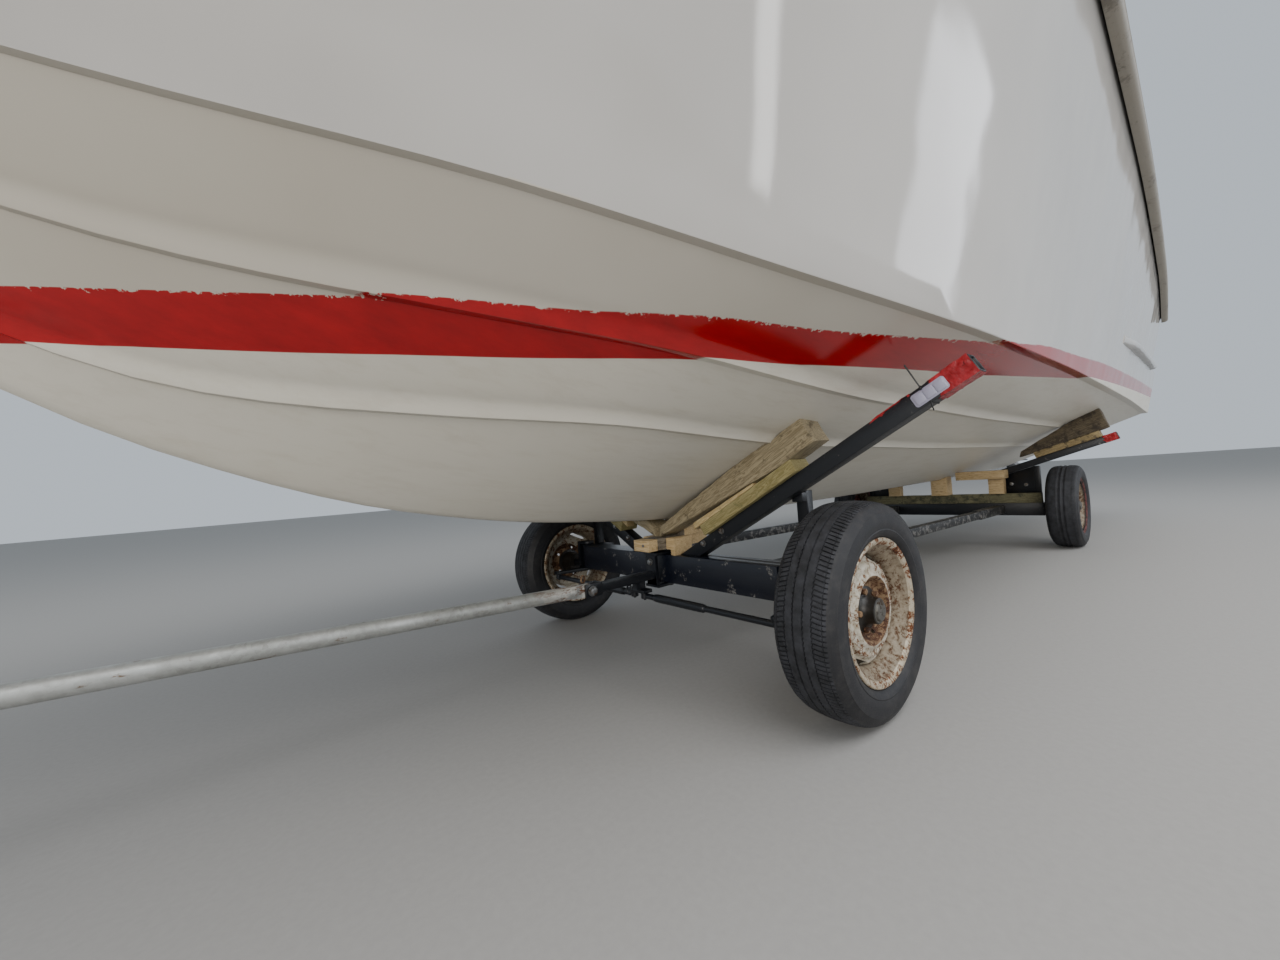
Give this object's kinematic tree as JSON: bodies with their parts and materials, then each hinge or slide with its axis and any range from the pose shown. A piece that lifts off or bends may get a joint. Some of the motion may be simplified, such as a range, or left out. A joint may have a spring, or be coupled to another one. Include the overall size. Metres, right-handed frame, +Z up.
{
  "type": "sports day cruiser speedboat on a four-wheel yard trolley",
  "caption": "Sports day cruiser with a stepped deep-vee hull, cuddy and stern drive, chocked on a steerable yard trolley with a drawbar.",
  "frame": {"origin": "middle of the whole box, on the floor under the trolley's wheels", "axes": "+X towards the bow, +Y to port, +Z up"},
  "size_m": [9.084, 2.78, 2.703],
  "materials": {
    "bottom_paint": "satin, scuffed",
    "gelcoat": "high gloss",
    "rail_vinyl": "satin",
    "teak": "oiled",
    "polished_steel": "polished",
    "screen_glass": "clear",
    "hatch_acrylic": "smoked gloss",
    "vinyl_cushion": "soft vinyl",
    "console_moulding": "satin",
    "wheel_rubber": "matt",
    "engine_paint": "satin",
    "drive_paint": "satin",
    "propeller_alloy": "cast",
    "trolley_paint": "worn satin black",
    "galvanised": "weathered",
    "old_plank": "weathered",
    "treated_timber": "green treated",
    "pine_block": "sawn",
    "worn_tyre": "worn",
    "rim_silver": "dirty, rusted",
    "rim_red": "rusty red"
  },
  "bodies": {
    "root": {"hull": "bottom_paint", "deck": "gelcoat", "rubbing_strake": "rail_vinyl", "platform_boards": "teak", "windscreen_frame": "polished_steel", "windscreen_glass": "screen_glass", "engine_block": "engine_paint", "helm_console": "console_moulding", "helm_seats": "vinyl_cushion", "seat_pedestals": "polished_steel", "bench_base": "gelcoat", "bench_cushion": "vinyl_cushion", "bow_rail": "polished_steel", "cleats": "polished_steel", "bow_eye": "polished_steel", "door_hinges": "polished_steel", "hatch_hinges": "polished_steel", "drive_shield": "drive_paint", "ladder_brackets": "polished_steel", "front_beam": "trolley_paint", "rear_beam": "trolley_paint", "side_rails": "trolley_paint", "front_arms": "trolley_paint", "rear_arms": "trolley_paint", "front_posts": "trolley_paint", "rear_posts": "trolley_paint", "front_timbers": "treated_timber", "front_pads": "old_plank", "rear_timbers": "treated_timber", "rear_pads": "old_plank", "keel_blocks_front": "pine_block", "keel_blocks_rear": "pine_block", "rear_cross_plank": "old_plank"},
    "cabin_door": {"cabin_door": "hatch_acrylic"},
    "forehatch": {"forehatch_lid": "hatch_acrylic"},
    "engine_hatch": {"engine_hatch": "gelcoat", "sunpad": "vinyl_cushion"},
    "helm_wheel": {"steering_wheel": "wheel_rubber"},
    "gimbal": {"gimbal_ring": "drive_paint"},
    "leg": {"drive_leg": "drive_paint"},
    "screw": {"propeller": "propeller_alloy"},
    "boarding_ladder": {"ladder": "polished_steel"},
    "stub": {"drawbar_stub": "trolley_paint"},
    "bar": {"drawbar": "galvanised"},
    "tie_port": {"tie_rod_port": "trolley_paint"},
    "tie_starboard": {"tie_rod_starboard": "trolley_paint"},
    "steer_port": {"knuckle_port": "trolley_paint"},
    "steer_starboard": {"knuckle_starboard": "trolley_paint"},
    "wheel_front_port": {"tyre_front_port": "worn_tyre", "rim_front_port": "rim_silver"},
    "wheel_front_starboard": {"tyre_front_starboard": "worn_tyre", "rim_front_starboard": "rim_silver"},
    "wheel_rear_port": {"tyre_rear_port": "worn_tyre", "rim_rear_port": "rim_red"},
    "wheel_rear_starboard": {"tyre_rear_starboard": "worn_tyre", "rim_rear_starboard": "rim_red"}
  },
  "joints": [
    {"name": "trolley_steer", "type": "hinge", "parent": "root", "child": "stub", "pos_m": [1.293, 0, 0.358], "axis": [0, 0, 1], "range_deg": [-25, 25]},
    {"name": "steer_port_yaw", "type": "hinge", "parent": "root", "child": "steer_port", "pos_m": [1.293, 0.62, 0.358], "axis": [0, 0, 1], "range_deg": [-25, 25]},
    {"name": "steer_starboard_yaw", "type": "hinge", "parent": "root", "child": "steer_starboard", "pos_m": [1.293, -0.62, 0.358], "axis": [0, 0, 1], "range_deg": [-25, 25]},
    {"name": "tie_port_pivot", "type": "hinge", "parent": "stub", "child": "tie_port", "pos_m": [1.463, 0.032, 0.272], "axis": [0, 0, 1], "range_deg": [-25, 25]},
    {"name": "tie_starboard_pivot", "type": "hinge", "parent": "stub", "child": "tie_starboard", "pos_m": [1.463, -0.032, 0.272], "axis": [0, 0, 1], "range_deg": [-25, 25]},
    {"name": "drawbar_pitch", "type": "hinge", "parent": "stub", "child": "bar", "pos_m": [1.704, 0, 0.34], "axis": [0, -1, 0], "range_deg": [0, 20]},
    {"name": "wheel_front_port_spin", "type": "hinge", "parent": "steer_port", "child": "wheel_front_port", "pos_m": [1.298, 0.8035, 0.311], "axis": [0, 1, 0], "continuous": true},
    {"name": "wheel_front_starboard_spin", "type": "hinge", "parent": "steer_starboard", "child": "wheel_front_starboard", "pos_m": [1.298, -0.8035, 0.311], "axis": [0, 1, 0], "continuous": true},
    {"name": "wheel_rear_port_spin", "type": "hinge", "parent": "root", "child": "wheel_rear_port", "pos_m": [-2.035, 0.8, 0.303], "axis": [0, 1, 0], "continuous": true},
    {"name": "wheel_rear_starboard_spin", "type": "hinge", "parent": "root", "child": "wheel_rear_starboard", "pos_m": [-2.035, -0.8, 0.303], "axis": [0, 1, 0], "continuous": true},
    {"name": "helm", "type": "hinge", "parent": "root", "child": "helm_wheel", "pos_m": [0.968, -0.64, 2.01], "axis": [0.9135, 0, -0.4067], "range_deg": [-540, 540]},
    {"name": "drive_steer", "type": "hinge", "parent": "root", "child": "gimbal", "pos_m": [-4.052, 0, 0.93], "axis": [0, 0, 1], "range_deg": [-28, 28]},
    {"name": "drive_tilt", "type": "hinge", "parent": "gimbal", "child": "leg", "pos_m": [-4.137, 0, 0.93], "axis": [0, 1, 0], "range_deg": [0, 50]},
    {"name": "propeller_spin", "type": "hinge", "parent": "leg", "child": "screw", "pos_m": [-4.462, 0, 0.43], "axis": [1, 0, 0], "continuous": true},
    {"name": "engine_hatch_lift", "type": "hinge", "parent": "root", "child": "engine_hatch", "pos_m": [-3.2335, 0, 1.8821], "axis": [0, -1, 0], "range_deg": [0, 60]},
    {"name": "forehatch_lift", "type": "hinge", "parent": "root", "child": "forehatch", "pos_m": [3.2655, 0, 2.3342], "axis": [0, 1, 0], "range_deg": [0, 80]},
    {"name": "cabin_door_swing", "type": "hinge", "parent": "root", "child": "cabin_door", "pos_m": [1.4405, 0.427, 1.72], "axis": [0, 0, -1], "range_deg": [0, 100]},
    {"name": "ladder_fold", "type": "hinge", "parent": "root", "child": "boarding_ladder", "pos_m": [-3.91, 0.72, 1.414], "axis": [0, -1, 0], "range_deg": [0, 235]}
  ],
  "couplings": [
    {"joint": "steer_port_yaw", "follows": "trolley_steer", "ratio": 1},
    {"joint": "steer_starboard_yaw", "follows": "trolley_steer", "ratio": 1},
    {"joint": "tie_port_pivot", "follows": "trolley_steer", "ratio": -1},
    {"joint": "tie_starboard_pivot", "follows": "trolley_steer", "ratio": -1},
    {"joint": "drive_steer", "follows": "helm", "ratio": 0.0518}
  ]
}
